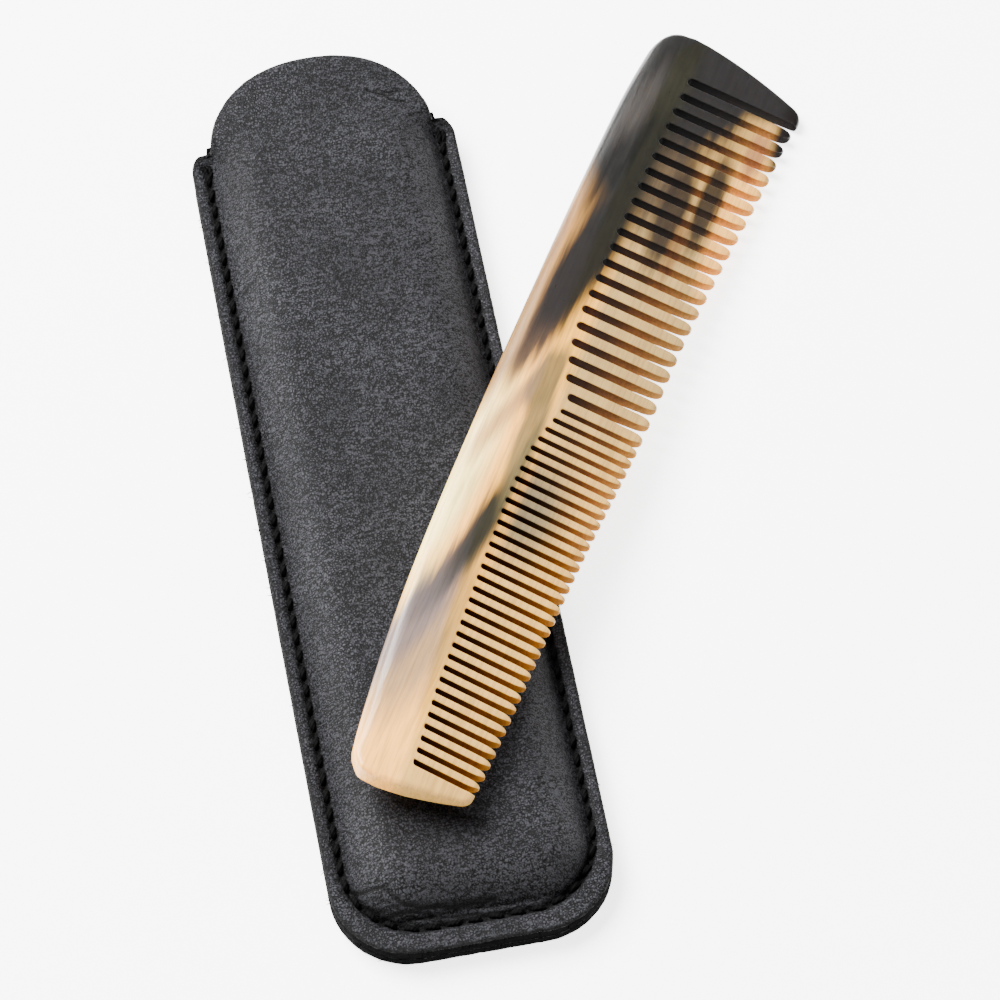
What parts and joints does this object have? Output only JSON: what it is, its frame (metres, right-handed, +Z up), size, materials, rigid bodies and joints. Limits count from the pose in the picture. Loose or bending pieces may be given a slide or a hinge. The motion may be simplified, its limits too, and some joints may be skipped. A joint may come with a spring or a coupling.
{
  "type": "beard comb with sheath",
  "caption": "Horn beard comb with fine and coarse teeth, lying across its moulded, stitched leather sheath with a rounded tongue.",
  "frame": {"origin": "on the resting face of the sheath's back panel, on its centre line, 78.5 mm up from its bottom edge", "axes": "+Y along the sheath from its closed bottom to the tongue, +Z up out of the resting face, +X to the side the comb overhangs"},
  "size_m": [0.0939, 0.1477, 0.0167],
  "materials": {
    "horn": "polished horn, streaked from cream to near black",
    "front_leather": "black grained leather, moulded wet",
    "back_leather": "black grained leather, left flat",
    "needle_thread": "black waxed thread",
    "bobbin_thread": "black waxed thread"
  },
  "bodies": {
    "sheath": {"sheath_front_panel": "front_leather", "sheath_back_panel": "back_leather", "needle_thread": "needle_thread", "bobbin_thread": "bobbin_thread"},
    "comb": {"comb": "horn"}
  },
  "joints": [
    {"name": "comb_lift", "type": "slide", "parent": "sheath", "child": "comb", "axis": [0, 0, 1], "range_m": [0, 0.06]}
  ]
}
